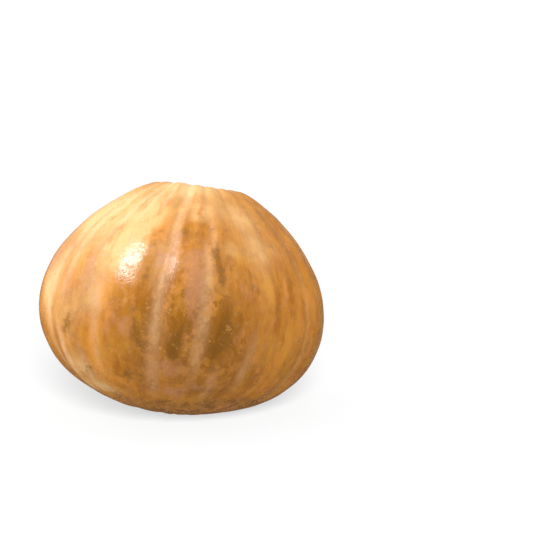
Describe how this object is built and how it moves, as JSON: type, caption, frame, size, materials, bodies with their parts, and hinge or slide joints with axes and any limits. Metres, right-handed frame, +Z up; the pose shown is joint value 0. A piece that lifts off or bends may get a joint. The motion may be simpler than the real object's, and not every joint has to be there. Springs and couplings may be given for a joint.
{
  "type": "pumpkin",
  "caption": "Whole ribbed winter pumpkin with tan waxy skin, a squat globe that leans a little, with a short corky stem stub sunk in the hollow on top.",
  "frame": {"origin": "middle of the bounding box in plan, on the surface that the pumpkin rests on", "axes": "+Z up; +X to the right as the picture shows it, the way the fruit leans; -Y towards the viewer"},
  "size_m": [0.28, 0.2782, 0.228],
  "materials": {
    "skin": "waxy satin, mottled tan and orange",
    "cork": "dry and rough"
  },
  "bodies": {
    "root": {"fruit": "skin", "stem": "cork"}
  },
  "joints": []
}
